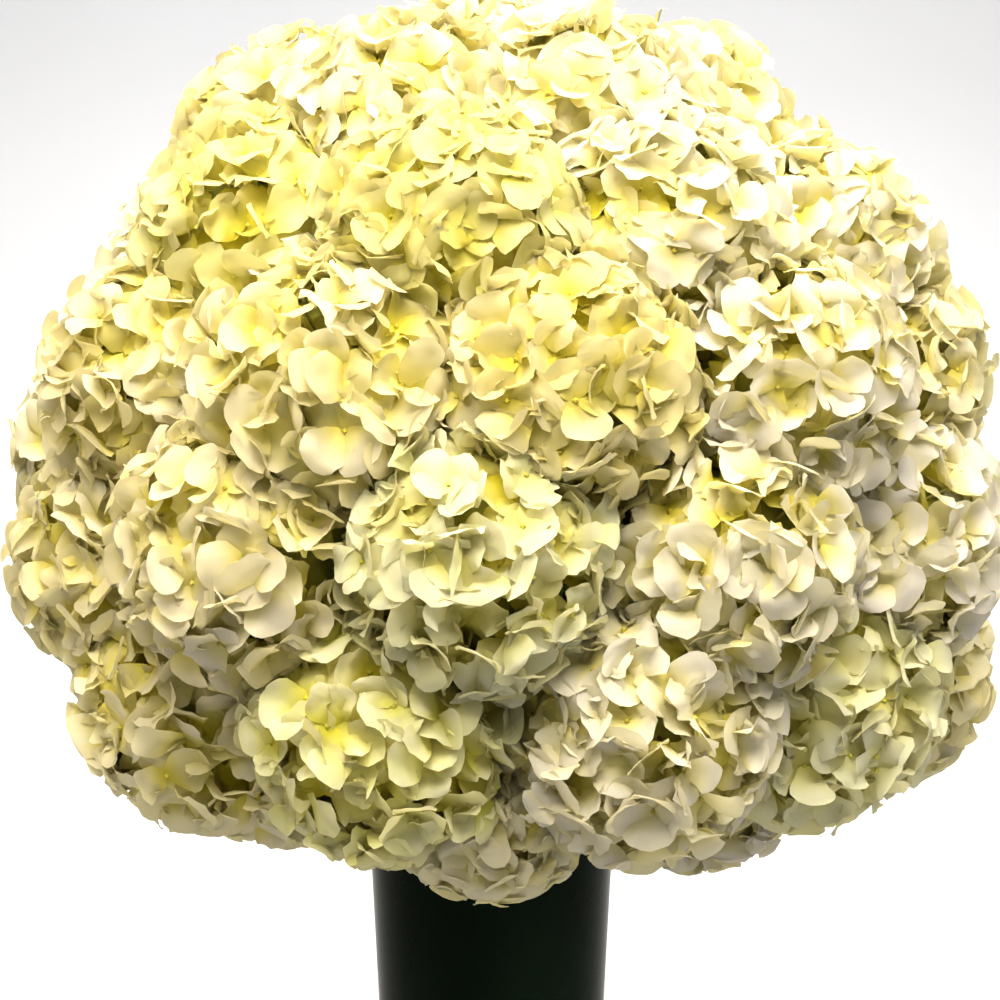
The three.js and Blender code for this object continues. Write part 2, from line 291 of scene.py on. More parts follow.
class SheetMesh:
    """A mesh made of sheets of points in rows and columns, with named values on its points."""

    def __init__(self, *names: str) -> None:
        """Starts an empty mesh whose points hold the named values."""
        self.names = names
        self.points: list[Array] = []
        self.values: list[list[Array]] = []

    def add(self, points: Array, **values: Array | float) -> None:
        """Adds sheets to the mesh.

        Args:
            points: Shaped (sheets, rows, columns, 3), in metres.
            values: A number, or an array that spreads over (sheets, rows, columns), for each name.
                A name that isn't given holds 0.
        """
        shape = points.shape[:3]
        self.points.append(points)
        self.values.append([np.broadcast_to(values.get(name, 0.0), shape) for name in self.names])

    def _faces(self) -> list[list[int]]:
        """The four corners of every square, as point numbers."""
        faces, start = [], 0
        for block in self.points:
            sheets, rows, columns = block.shape[:3]
            numbers = start + np.arange(sheets * rows * columns).reshape(sheets, rows, columns)
            corners = (numbers[:, :-1, :-1], numbers[:, :-1, 1:], numbers[:, 1:, 1:], numbers[:, 1:, :-1])
            faces.extend(np.stack(corners, axis=-1).reshape(-1, 4).tolist())
            start += sheets * rows * columns
        return faces

    def _map(self) -> Array:
        """Each point's place in a map that gives every sheet a square of its own."""
        side = math.ceil(math.sqrt(sum(len(block) for block in self.points)))
        places, first, margin = [], 0, 0.03
        for block in self.points:
            sheets, rows, columns = block.shape[:3]
            number = first + np.arange(sheets)[:, None, None]
            across = margin + (1 - 2 * margin) * np.linspace(0, 1, columns)[None, None, :]
            along = margin + (1 - 2 * margin) * np.linspace(0, 1, rows)[None, :, None]
            shape = (sheets, rows, columns)
            u = np.broadcast_to((number % side + across) / side, shape)
            v = np.broadcast_to((number // side + along) / side, shape)
            places.append(np.stack([u, v], axis=-1).reshape(-1, 2))
            first += sheets
        return np.concatenate(places)

    def build(self, name: str, material: bpy.types.Material) -> bpy.types.Object:
        """Makes the Blender object, smooth and with its map, in the row frame."""
        mesh = bpy.data.meshes.new(name)
        points = np.concatenate([block.reshape(-1, 3) for block in self.points])
        mesh.from_pydata(points, [], self._faces())
        for index, value_name in enumerate(self.names):
            values = np.concatenate([block[index].reshape(-1) for block in self.values])
            attribute = mesh.attributes.new(value_name, "FLOAT", "POINT")
            attribute.data.foreach_set("value", values.astype(np.float32))
        corners = np.empty(len(mesh.loops), dtype=np.int32)
        mesh.loops.foreach_get("vertex_index", corners)
        layer = mesh.uv_layers.new(name=BAKE_MAP)
        layer.uv.foreach_set("vector", self._map()[corners].astype(np.float32).reshape(-1))
        mesh.shade_smooth()
        mesh.materials.append(material)
        piece = bpy.data.objects.new(name, mesh)
        bpy.context.scene.collection.objects.link(piece)
        return piece


def tube(path: Array, radii: Array | float, sides: int) -> Array:
    """A round tube along a path, as one sheet with its first and last columns together.

    Args:
        path: Points, shaped (count, 3).
        radii: One radius, or one for each point.
        sides: How many sides go round.

    Returns:
        Points shaped (1, count, sides + 1, 3).
    """
    along = unit(np.gradient(path, axis=0))
    across = np.empty_like(along)
    helper = np.array([1.0, 0.0, 0.0]) if abs(along[0, 0]) < 0.9 else np.array([0.0, 1.0, 0.0])
    across[0] = unit(np.cross(along[0], helper))
    for index in range(1, len(path)):
        carried = across[index - 1] - along[index] * (across[index - 1] @ along[index])
        across[index] = unit(carried)
    other = np.cross(along, across)
    turns = np.linspace(0, 2 * math.pi, sides + 1)
    round_way = across[:, None] * np.cos(turns)[None, :, None] + other[:, None] * np.sin(turns)[None, :, None]
    radius = np.broadcast_to(radii, len(path))[:, None, None]
    return (path[:, None] + round_way * radius)[None]


# Shader maths


class Signal:
    """A shader value that Python's operators work on, by adding Math nodes."""

    def __init__(self, sheet: "NodeTree", socket: bpy.types.NodeSocket) -> None:
        """Wraps a socket that gives a value."""
        self.sheet = sheet
        self.socket = socket

    def _math(self, operation: str, *values: Any, clamp: bool = False) -> "Signal":
        """Adds a Math node.

        Args:
            operation: What it works out.
            values: Its inputs, in order.
            clamp: Whether its result is held between 0 and 1.

        Returns:
            Its result.
        """
        settings = {"operation": operation, "use_clamp": clamp}
        node = self.sheet.node("ShaderNodeMath", settings, dict(enumerate(values)))
        return Signal(self.sheet, node.outputs[0])

    def __add__(self, other: Any) -> "Signal":
        """self + other."""
        return self._math("ADD", self, other)

    __radd__ = __add__

    def __sub__(self, other: Any) -> "Signal":
        """self - other."""
        return self._math("SUBTRACT", self, other)

    def __rsub__(self, other: Any) -> "Signal":
        """other - self."""
        return self._math("SUBTRACT", other, self)

    def __mul__(self, other: Any) -> "Signal":
        """self * other."""
        return self._math("MULTIPLY", self, other)

    __rmul__ = __mul__

    def __pow__(self, other: Any) -> "Signal":
        """self to a power."""
        return self._math("POWER", self, other)

    def __abs__(self) -> "Signal":
        """The size of self, without its sign."""
        return self._math("ABSOLUTE", self)

    def sine(self) -> "Signal":
        """The sine of self, in radians."""
        return self._math("SINE", self)

    def clamped(self) -> "Signal":
        """self, held between 0 and 1."""
        return self._math("ADD", self, 0.0, clamp=True)

    def between(self, low: float, high: float) -> "Signal":
        """Steps smoothly from 0 at low to 1 at high.

        Args:
            low: Where the step starts.
            high: Where the step ends.

        Returns:
            The step, from 0 to 1.
        """
        values = {"Value": self, "From Min": low, "From Max": high}
        node = self.sheet.node("ShaderNodeMapRange", {"interpolation_type": "SMOOTHSTEP"}, values)
        return Signal(self.sheet, node.outputs["Result"])


class NodeTree:
    """A tree of shader nodes, which one method adds."""

    def __init__(self, tree: bpy.types.NodeTree) -> None:
        """Empties the tree."""
        self.tree = tree
        tree.nodes.clear()

    def node(self, kind: str, settings: dict[str, Any], values: dict[Any, Any]) -> bpy.types.Node:
        """Adds a node.

        Args:
            kind: The node's type.
            settings: Its own properties, which are set first.
            values: For each input, by name or number, a constant, a socket or a Signal.

        Returns:
            The node.
        """
        node = self.tree.nodes.new(kind)
        for name, value in settings.items():
            setattr(node, name, value)
        for name, value in values.items():
            self.feed(node.inputs[name], value)
        return node

    def feed(self, socket: bpy.types.NodeSocket, value: Any) -> None:
        """Links a socket or a Signal to an input, or sets the input to a constant."""
        if isinstance(value, Signal):
            value = value.socket
        if isinstance(value, bpy.types.NodeSocket):
            self.tree.links.new(value, socket)
        elif isinstance(value, tuple) and len(value) == 3 and socket.type == "RGBA":
            socket.default_value = (*value, 1.0)
        else:
            socket.default_value = value


class NodeSheet(NodeTree):
    """One material's nodes, ending in a Principled shader."""

    def __init__(self, name: str) -> None:
        """Makes an empty material with its shader and output."""
        self.material = bpy.data.materials.new(name)
        self.material.use_nodes = True
        super().__init__(self.material.node_tree)
        self.shader = self.node("ShaderNodeBsdfPrincipled", {}, {})
        self.output = self.node("ShaderNodeOutputMaterial", {}, {"Surface": self.shader.outputs[0]})

    def value(self, name: str) -> Signal:
        """The named value that the mesh's points hold."""
        node = self.node("ShaderNodeAttribute", {"attribute_name": name}, {})
        return Signal(self, node.outputs["Fac"])

    def noise(self, scale: float, detail: float, stretch: Point = (1, 1, 1)) -> Signal:
        """Adds smooth noise over the object's own coordinates.

        Args:
            scale: How many waves there are in a metre.
            detail: How much finer noise is laid over it.
            stretch: How much denser the waves are along each axis.

        Returns:
            The noise, from 0 to 1.
        """
        place = self.node("ShaderNodeTexCoord", {}, {}).outputs["Object"]
        stretched = self.node("ShaderNodeMapping", {}, {"Vector": place, "Scale": stretch})
        values = {"Vector": stretched.outputs[0], "Scale": scale, "Detail": detail}
        node = self.node("ShaderNodeTexNoise", {}, values)
        return Signal(self, node.outputs["Fac"])

    def mix(self, share: Any, first: Any, second: Any) -> bpy.types.NodeSocket:
        """Mixes two colours.

        Args:
            share: The share of the second colour, held between 0 and 1.
            first: The colour at share 0.
            second: The colour at share 1.

        Returns:
            The socket that gives the mixed colour.
        """
        node = self.node("ShaderNodeMix", {"data_type": "RGBA", "clamp_factor": True}, {})
        self.feed(node.inputs["Factor"], share)
        self.feed(node.inputs[6], first)
        self.feed(node.inputs[7], second)
        return node.outputs[2]

    def relief(self, height: Signal, strength: float, depth: float) -> None:
        """Feeds a Bump node to the shader.

        Args:
            height: The relief's height, from 0 to 1.
            strength: How strongly it shows.
            depth: Its depth in metres.
        """
        values = {"Height": height, "Strength": strength, "Distance": depth}
        bump = self.node("ShaderNodeBump", {}, values)
        self.feed(self.shader.inputs["Normal"], bump.outputs[0])

    def let_through(self, share: float, colour: Colour) -> None:
        """Lets a share of the light pass through the surface, softened.

        Args:
            share: That share.
            colour: The tint that the light takes.
        """
        thin = self.node("ShaderNodeBsdfTranslucent", {}, {"Color": colour})
        values = {0: share, 1: self.shader.outputs[0], 2: thin.outputs[0]}
        both = self.node("ShaderNodeMixShader", {}, values)
        self.feed(self.output.inputs["Surface"], both.outputs[0])

    def surface(self, **values: Any) -> None:
        """Sets the shader's inputs, with underscores for the spaces in their names."""
        for name, value in values.items():
            self.feed(self.shader.inputs[name.replace("_", " ")], value)


# Finishes


@dataclass(frozen=True)
class PetalFinish:
    """Soft sepals: body colour, yellow throat, tinted rim, veins, bruises, and a yellower inside, partly the
    inner florets' own colour and partly a painted glow in the shaded recesses. The head's warmth also paints
    warm light on high heads and cool shade on low ones.
    """

    slot: str
    body: Colour
    throat: Colour
    rim: Colour
    bruise: Colour = (0.55, 0.45, 0.28)
    inner_tint_and_painted_glow: Colour = (0.93, 0.82, 0.05)
    gold: Colour = (0.98, 0.81, 0.16)
    green: Colour = (0.66, 0.66, 0.12)
    glow: Colour = (0.99, 0.91, 0.48)
    glow_share: float = 0.48
    roughness: float = 0.55
    shine: float = 0.25
    cloud_scale: float = 75
    vein_turns: float = 8.5
    vein_sway: float = 2.4
    vein_share: float = 0.22
    throat_end: float = 0.62
    rim_share: float = 0.5
    bruise_share: float = 0.25
    warm_from: float = 0.35
    cool_from: float = 0.4
    cool_tint_and_painted_shade_share: float = 1.2
    relief_depth: float = 5.5 * MM

    def material(self) -> bpy.types.Material:
        """Builds the material."""
        sheet = NodeSheet(self.slot)
        along, side, tone = sheet.value("along"), sheet.value("side"), sheet.value("tone")
        deep, green, warmth = sheet.value("deep"), sheet.value("green"), sheet.value("warmth")
        cloud = sheet.noise(self.cloud_scale, 0)
        fan = (side * self.vein_turns + (cloud - 0.5) * self.vein_sway).sine()
        veins = ((1 - abs(fan)) ** 5) * along.between(0.02, 0.35)
        throat = (1 - along.between(0.02, self.throat_end)) * (0.55 + 0.45 * tone)
        edge = (abs(side) ** 3) * along.between(0.15, 0.7)
        colour = sheet.mix((cloud.between(0.38, 0.72) * 0.55 + tone * 0.3).clamped(), self.body, self.rim)
        colour = sheet.mix(edge * self.rim_share, colour, self.rim)
        colour = sheet.mix(throat, colour, self.throat)
        colour = sheet.mix(veins * self.vein_share, colour, self.throat)
        colour = sheet.mix(cloud.between(0.62, 0.8) * self.bruise_share * tone, colour, self.bruise)
        # Painted light: warmth rises towards the top of the dome, so high heads take painted warm light in
        # gold, besides each head's own random warmth.
        colour = sheet.mix((warmth - self.warm_from).clamped() * (0.35 + 0.65 * tone), colour, self.gold)
        # Low warmth, mostly on the low heads, mixes in the cool rim colour as painted shade, besides each
        # head's own random tint.
        colour = sheet.mix((self.cool_from - warmth).clamped() * self.cool_tint_and_painted_shade_share, colour, self.rim)
        # Painted glow in the recesses: deep points turn yellow, partly the inner florets' own colour and
        # partly painted light let through the petals into the shade.
        colour = sheet.mix((deep * (0.8 + 0.4 * tone)).clamped(), colour, self.inner_tint_and_painted_glow)
        colour = sheet.mix(green, colour, self.green)
        sheet.relief(cloud, 0.8, self.relief_depth)
        sheet.surface(Base_Color=colour, Roughness=self.roughness + 0.2 * cloud)
        sheet.surface(Specular_IOR_Level=self.shine)
        sheet.let_through(self.glow_share, self.glow)
        return sheet.material


@dataclass(frozen=True)
class GlassFinish:
    """Dark bottle-green glass, too dark to see into, with a soft flow in its surface."""

    slot: str = "vase_glass"
    body: Colour = (0.0016, 0.0040, 0.0022)
    light: Colour = (0.0080, 0.0190, 0.0110)
    shine: Colour = (0.74, 1.0, 0.82)
    index: float = 1.11
    roughness: float = 0.25

    def material(self) -> bpy.types.Material:
        """Builds the material."""
        sheet = NodeSheet(self.slot)
        flow = sheet.noise(9, 2, (1, 1, 0.3))
        smudge = sheet.noise(34, 5)
        colour = sheet.mix(flow.between(0.3, 0.75), self.body, self.light)
        sheet.relief(flow, 0.25, 2 * MM)
        sheet.surface(Base_Color=colour, Roughness=self.roughness + 0.10 * smudge.between(0.5, 0.8))
        sheet.surface(IOR=self.index, Specular_Tint=self.shine)
        return sheet.material


@dataclass(frozen=True)
class WaterFinish:
    """Clear water with a faint green cast."""

    slot: str = "water"
    body: Colour = (0.78, 0.88, 0.80)
    cast: Colour = (0.60, 0.76, 0.62)
    index: float = 1.33

    def material(self) -> bpy.types.Material:
        """Builds the material."""
        sheet = NodeSheet(self.slot)
        drift = sheet.noise(12, 2)
        sheet.surface(Base_Color=sheet.mix(drift, self.body, self.cast), Roughness=0.02 + 0.03 * drift)
        sheet.surface(Transmission_Weight=1.0, IOR=self.index)
        return sheet.material


@dataclass(frozen=True)
class StemFinish:
    """Fresh green stems with long pale streaks and small dark marks."""

    slot: str = "stem"
    body: Colour = (0.13, 0.22, 0.045)
    pale: Colour = (0.30, 0.40, 0.13)
    mark: Colour = (0.05, 0.05, 0.015)

    def material(self) -> bpy.types.Material:
        """Builds the material."""
        sheet = NodeSheet(self.slot)
        tone = sheet.value("tone")
        streak = sheet.noise(420, 2, (1, 1, 0.06))
        mark = sheet.noise(300, 3, (1, 1, 0.4)).between(0.68, 0.76)
        colour = sheet.mix((streak.between(0.35, 0.75) * 0.6 + tone * 0.4).clamped(), self.body, self.pale)
        colour = sheet.mix(mark * 0.7, colour, self.mark)
        sheet.relief(streak - mark * 0.5, 0.4, 0.4 * MM)
        sheet.surface(Base_Color=colour, Roughness=0.4 + 0.25 * streak)
        return sheet.material


@dataclass(frozen=True)
class TwineFinish:
    """Coarse jute twine, twisted from strands."""

    slot: str = "twine"
    body: Colour = (0.42, 0.29, 0.14)
    dark: Colour = (0.17, 0.10, 0.04)
    strands: int = 3

    def material(self) -> bpy.types.Material:
        """Builds the material."""
        sheet = NodeSheet(self.slot)
        turn = sheet.value("side") * (2 * math.pi * self.strands)
        twist = (sheet.value("along") + turn).sine() * 0.5 + 0.5
        fibre = sheet.noise(900, 3)
        colour = sheet.mix((twist * 0.7 + fibre * 0.3).clamped(), self.dark, self.body)
        sheet.relief(twist + fibre * 0.4, 0.8, 0.5 * MM)
        sheet.surface(Base_Color=colour, Roughness=0.85 - 0.1 * fibre)
        return sheet.material


@dataclass(frozen=True)
class StudioFinish:
    """The plain pale floor and backdrop."""

    pale: Colour = (0.40, 0.40, 0.41)
    paler: Colour = (0.43, 0.43, 0.44)

    def material(self) -> bpy.types.Material:
        """Builds the material."""
        sheet = NodeSheet("studio_floor")
        colour = sheet.mix(sheet.noise(2, 2), self.pale, self.paler)
        sheet.surface(Base_Color=colour, Roughness=0.8)
        return sheet.material


class PetalKind(Enum):
    """The three tints of the heads, each with its slot, body, throat and rim."""

    CREAM = PetalFinish("petal_cream", (0.97, 0.93, 0.76), (0.96, 0.83, 0.05), (0.92, 0.88, 0.84))
    IVORY = PetalFinish("petal_ivory", (0.96, 0.92, 0.86), (0.94, 0.84, 0.14), (0.88, 0.85, 0.90))
    GREEN = PetalFinish("petal_green", (0.91, 0.93, 0.52), (0.78, 0.80, 0.05), (0.92, 0.92, 0.76))


# The pieces


@dataclass
class HeadMaker:
    """Builds one mophead: florets of four wavy sepals, on fine stalks from a green core."""

    florets: int = 68
    inner_florets: int = 24
    cap: float = 110
    sepal_length: float = 21 * MM
    rows: int = 6
    columns: int = 5
    core_share: float = 0.68
    seat_share: float = 0.72
    overlap: float = 11 * MM
    # Where the painted recess glow starts, in head radii, and how quickly it grows inwards.
    bright_share: float = 1.02
    deep_slope: float = 4.5
    bud_rise: float = 1.4 * MM
    bud_radius: float = 1.7 * MM
    stalk_radius: float = 1.1 * MM
    dome_height: float = 470 * MM
    dome_size: float = 230 * MM
    warmth: float = 0.42
    painted_warm_light_above: float = 0.2
    warmer_left: float = 0.18
    warmth_spread: float = 0.42
    seed: int = 900

    def build(self, place: HeadPlace, number: int, material: bpy.types.Material) -> bpy.types.Object:
        """Makes one head.

        Args:
            place: Where the head sits, with its limits.
            number: The head's number, which also seeds its chance.
            material: Its petal material.

        Returns:
            The head as one object.
        """
        chance = np.random.default_rng(self.seed + number)
        mesh = SheetMesh("along", "side", "tone", "deep", "green", "warmth")
        warmth = self._warmth(place, chance)
        ways, turns = self._ways(place, self.florets, self.cap, chance)
        depths = chance.uniform(0.84, 0.97, len(ways))
        inner, inner_turns = self._ways(place, self.inner_florets, self.cap * 0.82, chance)
        inner_depths = chance.uniform(0.77, 0.88, len(inner))
        ways, turns = np.concatenate([ways, inner]), np.concatenate([turns, inner_turns])
        depths = np.concatenate([depths, inner_depths])
        axes = unit(ways + chance.normal(0, 0.3, ways.shape))
        tones = chance.uniform(0, 1, len(ways))
        bases = ways * (depths * place.radius)[:, None]
        self._sepals(mesh, place, bases, axes, turns, tones, warmth, chance)
        self._eyes(mesh, place, bases, axes)
        self._stalks(mesh, place, bases)
        self._core(mesh, place, chance)
        return mesh.build(f"mophead_{number:02d}", material)

    def _warmth(self, place: HeadPlace, chance: np.random.Generator) -> float:
        """How yellow a head is, from 0 to 1: more so at the top, as painted warm light, and on the left, and
        by chance. The low heads' lower warmth paints cool shade on them.

        Args:
            place: Where the head sits.
            chance: The head's random source.

        Returns:
            The warmth.
        """
        height = (place.middle[2] - self.dome_height) / self.dome_size
        side = place.middle[0] / self.dome_size
        # Painted light: the rise with height gives high heads painted warm light, and low heads, through the
        # cool tint, painted shade.
        warmth = self.warmth + self.painted_warm_light_above * height - self.warmer_left * side
        return float(np.clip(warmth + chance.normal(0, self.warmth_spread), 0, 1))

    def _ways(
        self, place: HeadPlace, count: int, cap: float, chance: np.random.Generator
    ) -> tuple[Array, Array]:
        """Spreads florets over a cap round the way that a head faces.

        Args:
            place: Where the head sits.
            count: How many florets there are.
            cap: The angle from the cap's middle to its edge, in degrees.
            chance: The head's random source.

        Returns:
            The way to each floret, and how far each is turned.
        """
        steps = np.arange(count)
        angles = np.arccos(1 - (1 - math.cos(math.radians(cap))) * (steps + 0.4) / count)
        turns = steps * GOLDEN_TURN + chance.uniform(0, 2 * math.pi)
        first, second = frames_about(place.facing[None], np.zeros(1))
        flat = first * np.cos(turns)[:, None] + second * np.sin(turns)[:, None]
        ways = place.facing * np.cos(angles)[:, None] + flat * np.sin(angles)[:, None]
        ways = unit(ways + chance.normal(0, 0.07, ways.shape))
        return ways, chance.uniform(0, math.pi, count)

    def _sepals(
        self,
        mesh: SheetMesh,
        place: HeadPlace,
        bases: Array,
        axes: Array,
        turns: Array,
        tones: Array,
        warmth: float,
        chance: np.random.Generator,
    ) -> None:
        """Adds four overlapping, wavy sepals to each floret.

        Args:
            mesh: The mesh that they go into.
            place: Where the head sits.
            bases: The florets' middles, from the head's middle.
            axes: The way that each floret faces.
            turns: How far each floret is turned about its axis.
            tones: A number from 0 to 1 for each floret's tint.
            warmth: How yellow the whole head is, with painted warm light on high heads and painted cool shade
                on low ones.
            chance: The head's random source.
        """
        count = len(bases)
        row = np.linspace(-1, 1, self.rows)[:, None]
        column = np.linspace(-1, 1, self.columns)[None]
        u = ((row * np.sqrt(1 - column**2 / 2) + 1) / 2)[None, None]
        v = (column * np.sqrt(1 - row**2 / 2))[None, None]
        each = (count, 4, 1, 1)
        length = self.sepal_length * chance.uniform(0.82, 1.14, (count, 1, 1, 1))
        length = length * chance.uniform(0.92, 1.08, each)
        width = length * chance.uniform(0.52, 0.64, each)
        phase = chance.uniform(0, 2 * math.pi, each)
        waves = chance.uniform(2.0, 4.5, each)
        turn = np.arctan2(v, 2 * u - 1)
        frill = 1 + 0.05 * np.sin(waves.round() * turn + phase) + 0.03 * np.sin(7 * turn + 2 * phase)
        across = v * width * (0.82 + 0.3 * u) * frill
        outward = length * (0.5 + (u - 0.5) * frill) * (1 - 0.04 * np.exp(-((v / 0.2) ** 2)) * u**3)
        lift = np.tan(np.radians(chance.normal(15, 23, each)))
        cup = chance.normal(-0.05, 0.42, each)
        gutter = chance.normal(0.15, 0.42, each)
        ruffle = chance.uniform(0.10, 0.26, each)
        rise = lift * u + cup * u**2 + gutter * (v**2) * u
        rise = rise + ruffle * np.sin(waves * math.pi * u + phase + 1.8 * v) * (0.35 * u + 0.65 * v**2)
        rise = rise * length + np.array([0, 1, 0, 1])[None, :, None, None] * 0.7 * MM
        first, second = frames_about(axes, turns)
        angle = math.pi / 2 * np.arange(4)[None] + chance.normal(0, 0.09, (count, 4))
        radial = first[:, None] * np.cos(angle)[..., None] + second[:, None] * np.sin(angle)[..., None]
        square = second[:, None] * np.cos(angle)[..., None] - first[:, None] * np.sin(angle)[..., None]
        points = (
            bases[:, None, None, None]
            + radial[:, :, None, None] * outward[..., None]
            + square[:, :, None, None] * across[..., None]
            + axes[:, None, None, None] * rise[..., None]
        )
        shape = (count * 4, self.rows, self.columns)
        grid = points.shape[:4]
        into = np.broadcast_to(chance.uniform(0.2, 1.0, each) * self.overlap, grid)
        points = place.settle(points, into)
        # How deep in the head each point lies: deeper points take a yellow tint, partly their own colour and
        # partly a painted glow in the shaded recesses.
        reach = np.linalg.norm(points - place.middle, axis=-1) / place.radius
        deep = np.clip((self.bright_share - reach) * self.deep_slope, 0, 1)
        tone = tones[:, None, None, None]
        named = {"along": u, "side": v, "tone": tone, "deep": deep}
        values = {name: np.broadcast_to(value, grid).reshape(shape) for name, value in named.items()}
        mesh.add(points.reshape(*shape, 3), warmth=warmth, **values)

    def _eyes(self, mesh: SheetMesh, place: HeadPlace, bases: Array, axes: Array) -> None:
        """Adds the small round bud in the middle of each floret.

        Args:
            mesh: The mesh that they go into.
            place: Where the head sits.
            bases: The florets' middles, from the head's middle.
            axes: The way that each floret faces.
        """
        rings, sides = 3, 5
        polar = np.linspace(0.12, math.pi - 0.12, rings)[None, :, None, None]
        turn = np.linspace(0, 2 * math.pi, sides)[None, None, :, None]
        first, second = frames_about(axes, np.zeros(len(axes)))
        ball = (
            axes[:, None, None] * np.cos(polar)
            + first[:, None, None] * np.sin(polar) * np.cos(turn)
            + second[:, None, None] * np.sin(polar) * np.sin(turn)
        )
        points = (bases + axes * self.bud_rise)[:, None, None] + ball * self.bud_radius
        mesh.add(place.settle(points), along=0.0, tone=1.0, warmth=0.6, green=0.15)

    def _stalks(self, mesh: SheetMesh, place: HeadPlace, bases: Array) -> None:
        """Adds a fine stalk from the core to each floret.

        Args:
            mesh: The mesh that they go into.
            place: Where the head sits.
            bases: The florets' middles, from the head's middle.
        """
        foot = place.to_stem * self.core_share * 0.3 * place.radius
        for base in bases:
            path = foot + (base - foot) * np.array([0.35, 0.7, 1.0])[:, None]
            mesh.add(place.settle(tube(path, self.stalk_radius, 3)), green=0.75, tone=0.5)

    def _core(self, mesh: SheetMesh, place: HeadPlace, chance: np.random.Generator) -> None:
        """Adds the knobbly green core that the stalks grow from, drawn out to the stem's seat.

        Args:
            mesh: The mesh that it goes into.
            place: Where the head sits.
            chance: The head's random source.
        """
        rings, sides = 12, 18
        polar = np.linspace(0.03, math.pi - 0.03, rings)[:, None, None]
        turn = np.linspace(0, 2 * math.pi, sides + 1)[None, :, None]
        axis = place.to_stem
        first, second = frames_about(axis[None], np.zeros(1))
        flat = first[0] * np.cos(turn) + second[0] * np.sin(turn)
        ways = axis * np.cos(polar) + np.sin(polar) * flat
        knobs = 1 + 0.06 * np.sin(9 * turn) * np.sin(7 * polar)
        neck = np.exp(-((polar / 0.3) ** 2)) * (self.seat_share / self.core_share - 1)
        points = ways * place.radius * self.core_share * (knobs + neck)
        mesh.add(place.settle(points)[None], green=1.0, tone=float(chance.uniform(0, 1)))


@dataclass
class Stems:
    """The cut stems: bound upright in the water, and fanning out to the heads above the tie."""

    radius: float = 3.2 * MM
    slot_radius: float = 29.5 * MM
    foot: float = 9.3 * MM
    bend_height: float = 286 * MM
    rise: float = 0.42
    seat_share: float = 0.70
    sides: int = 10
    steps: int = 18
    seed: int = 5

    def build(self, heads: list[HeadPlace], dome: Dome, material: bpy.types.Material) -> bpy.types.Object:
        """Makes all the stems.

        Args:
            heads: The heads, one for each stem.
            dome: The dome that they make.
            material: The stems' material.

        Returns:
            The stems as one object.
        """
        mesh = SheetMesh("tone")
        chance = np.random.default_rng(self.seed)
        for head, slot in zip(heads, self._slots(heads, dome)):
            path = self._line(head, slot)
            wobble = 1 + 0.05 * np.sin(np.linspace(0, 9, len(path)) + chance.uniform(0, 6))
            mesh.add(tube(path, self.radius * wobble, self.sides), tone=float(chance.uniform(0, 1)))
        return mesh.build("cut_stems", material)

    def _slots(self, heads: list[HeadPlace], dome: Dome) -> list[Array]:
        """Gives outer places in the bundle to low heads, matched round the bundle.

        Args:
            heads: All the heads.
            dome: The dome that they make.

        Returns:
            Each head's place in the bundle.
        """
        total = len(heads)
        spiral = [
            (self.slot_radius * math.sqrt((i + 0.5) / total), i * GOLDEN_TURN) for i in range(total)
        ]
        counts = [ring.heads for ring in dome.rings] + [dome.skirt_heads]
        order = sorted(range(total), key=lambda i: -heads[i].middle[2])
        found: list[Array] = [np.zeros(2)] * total
        start = 0
        for count in counts:
            ring = order[start : start + count]
            ring.sort(key=lambda i: math.atan2(heads[i].middle[1], heads[i].middle[0]))
            places = sorted(spiral[start : start + count], key=lambda place: place[1] % (2 * math.pi))
            for i, head in enumerate(ring):
                radius, turn = places[(i + (count + 1) // 2) % count]
                found[head] = np.array([radius * math.cos(turn), radius * math.sin(turn)])
            start += count
        return found

    def _line(self, head: HeadPlace, slot: Array) -> Array:
        """Draws the line of one stem.

        Args:
            head: Its head.
            slot: Its place in the bundle.

        Returns:
            Its points, from the cut end to the head's seat.
        """
        bend = np.array([*slot, self.bend_height])
        end = head.middle + head.to_stem * (self.seat_share * head.radius)
        lead = float(np.linalg.norm(end - bend)) * self.rise
        second, third = bend + np.array([0, 0, lead]), end + head.to_stem * lead
        t = np.linspace(0, 1, self.steps)[:, None]
        curve = (
            bend * (1 - t) ** 3 + second * 3 * t * (1 - t) ** 2 + third * 3 * t**2 * (1 - t) + end * t**3
        )
        upright = np.linspace([*slot, self.foot], bend, 6)[:-1]
        return np.concatenate([upright, curve])


